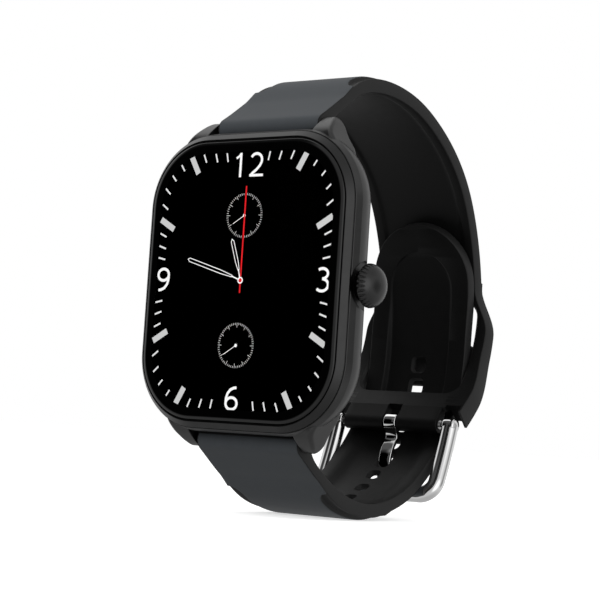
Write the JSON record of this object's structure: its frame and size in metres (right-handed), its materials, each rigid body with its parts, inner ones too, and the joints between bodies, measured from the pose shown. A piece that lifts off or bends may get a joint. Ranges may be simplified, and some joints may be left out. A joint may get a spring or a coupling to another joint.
{
  "type": "smartwatch",
  "caption": "Rounded-square smartwatch with touch display, rotating push crown and back sensor, on a buckled silicone strap with quick-release pins.",
  "frame": {"origin": "centre of the flat wrist-side face of the heart-rate window on the case back", "axes": "+Y from the case back towards the wrist, so the dial faces -Y; +Z towards 12 o'clock; +X towards 3 o'clock, where the crown is"},
  "size_m": [0.0426, 0.0555, 0.0702],
  "materials": {
    "case_body": "satin graphite",
    "front_bezel": "polished graphite",
    "cover_glass": "clear, curved edge",
    "glass_gasket": "adhesive tape, black",
    "display_panel": "black panel with a lit dial",
    "display_backplate": "satin",
    "display_flex": "polyimide ribbon",
    "inner_frame": "moulded",
    "main_board": "solder mask",
    "processor_shield": "stamped can",
    "memory_chip": "epoxy",
    "bluetooth_antenna": "stamped",
    "battery": "foil pouch",
    "battery_tab": "nickel strip on kapton",
    "haptic_can": "stamped can",
    "speaker_basket": "moulded",
    "microphone": "metal lid",
    "crown_tube": "turned",
    "crown_switch": "moulded",
    "back_cover": "polished black",
    "back_gasket": "matte",
    "sensor_window": "dark tinted",
    "sensor_board": "solder mask",
    "optical_baffle": "moulded",
    "sensor_leds": "green lens",
    "photodiodes": "dark lens",
    "charging_contacts": "gold plated",
    "charging_magnets": "nickel plated",
    "back_screws": "cross slot",
    "crown_plunger": "moulded",
    "crown_knob": "dark coated, knurled",
    "crown_shaft": "turned",
    "crown_oring": "matte",
    "crown_clip": "spring steel",
    "haptic_rotor": "tungsten weight",
    "speaker_cone": "film with copper coil",
    "buckle_strap": "matte silicone, slate grey outside",
    "upper_bar_tube": "turned",
    "upper_fixed_pin": "turned",
    "upper_bar_spring": "wire",
    "buckle_bar_tube": "turned",
    "buckle_bar_pins": "turned",
    "buckle_bar_spring": "wire",
    "upper_release_pin": "turned",
    "hole_strap": "matte silicone, slate grey outside",
    "lower_bar_tube": "turned",
    "lower_fixed_pin": "turned",
    "lower_bar_spring": "wire",
    "lower_release_pin": "turned",
    "buckle_frame": "polished",
    "buckle_tongue": "polished"
  },
  "bodies": {
    "case": {"case_body": "case_body", "front_bezel": "front_bezel", "cover_glass": "cover_glass", "glass_gasket": "glass_gasket", "display_panel": "display_panel", "display_backplate": "display_backplate", "display_flex": "display_flex", "inner_frame": "inner_frame", "main_board": "main_board", "processor_shield": "processor_shield", "memory_chip": "memory_chip", "bluetooth_antenna": "bluetooth_antenna", "battery": "battery", "battery_tab": "battery_tab", "haptic_can": "haptic_can", "speaker_basket": "speaker_basket", "microphone": "microphone", "crown_tube": "crown_tube", "crown_switch": "crown_switch", "back_cover": "back_cover", "back_gasket": "back_gasket", "sensor_window": "sensor_window", "sensor_board": "sensor_board", "optical_baffle": "optical_baffle", "sensor_leds": "sensor_leds", "photodiodes": "photodiodes", "charging_contacts": "charging_contacts", "charging_magnets": "charging_magnets", "back_screws": "back_screws"},
    "crown_button": {"crown_plunger": "crown_plunger"},
    "crown": {"crown_knob": "crown_knob", "crown_shaft": "crown_shaft", "crown_oring": "crown_oring", "crown_clip": "crown_clip"},
    "haptic_weight": {"haptic_rotor": "haptic_rotor"},
    "speaker_diaphragm": {"speaker_cone": "speaker_cone"},
    "strap_upper": {"buckle_strap": "buckle_strap", "upper_bar_tube": "upper_bar_tube", "upper_fixed_pin": "upper_fixed_pin", "upper_bar_spring": "upper_bar_spring", "buckle_bar_tube": "buckle_bar_tube", "buckle_bar_pins": "buckle_bar_pins", "buckle_bar_spring": "buckle_bar_spring"},
    "upper_pin": {"upper_release_pin": "upper_release_pin"},
    "strap_lower": {"hole_strap": "hole_strap", "lower_bar_tube": "lower_bar_tube", "lower_fixed_pin": "lower_fixed_pin", "lower_bar_spring": "lower_bar_spring"},
    "lower_pin": {"lower_release_pin": "lower_release_pin"},
    "buckle": {"buckle_frame": "buckle_frame"},
    "tongue": {"buckle_tongue": "buckle_tongue"}
  },
  "joints": [
    {"name": "crown_press", "type": "slide", "parent": "case", "child": "crown_button", "axis": [-1, 0, 0], "range_m": [0, 0.0004], "stiffness_N_per_m": 1000, "springref_m": -0.0015},
    {"name": "crown_spin", "type": "hinge", "parent": "crown_button", "child": "crown", "pos_m": [0.0215, -0.0052, -0.0003], "axis": [1, 0, 0], "continuous": true},
    {"name": "haptic_spin", "type": "hinge", "parent": "case", "child": "haptic_weight", "pos_m": [0.0035, -0.00565, -0.0127], "axis": [0, 1, 0], "continuous": true},
    {"name": "speaker_stroke", "type": "slide", "parent": "case", "child": "speaker_diaphragm", "axis": [0, 1, 0], "range_m": [-0.0001, 0.0001], "stiffness_N_per_m": 1000},
    {"name": "upper_strap_pivot", "type": "hinge", "parent": "case", "child": "strap_upper", "pos_m": [0, -0.0041, 0.0243], "axis": [1, 0, 0], "range_deg": [-0.2, 0.2]},
    {"name": "lower_strap_pivot", "type": "hinge", "parent": "case", "child": "strap_lower", "pos_m": [0, -0.0041, -0.0243], "axis": [1, 0, 0], "range_deg": [-0.2, 0.2]},
    {"name": "upper_pin_release", "type": "slide", "parent": "strap_upper", "child": "upper_pin", "axis": [-1, 0, 0], "range_m": [0, 0.0016], "stiffness_N_per_m": 300, "springref_m": -0.003},
    {"name": "lower_pin_release", "type": "slide", "parent": "strap_lower", "child": "lower_pin", "axis": [-1, 0, 0], "range_m": [0, 0.0016], "stiffness_N_per_m": 300, "springref_m": -0.003},
    {"name": "buckle_hinge", "type": "hinge", "parent": "strap_upper", "child": "buckle", "pos_m": [0, 0.0343, -0.0195], "axis": [1, 0, 0], "range_deg": [-1, 0]},
    {"name": "tongue_hinge", "type": "hinge", "parent": "strap_upper", "child": "tongue", "pos_m": [0, 0.0343, -0.0195], "axis": [1, 0, 0], "range_deg": [0, 0.7]}
  ],
  "couplings": [
    {"joint": "lower_strap_pivot", "follows": "upper_strap_pivot", "ratio": -1}
  ]
}
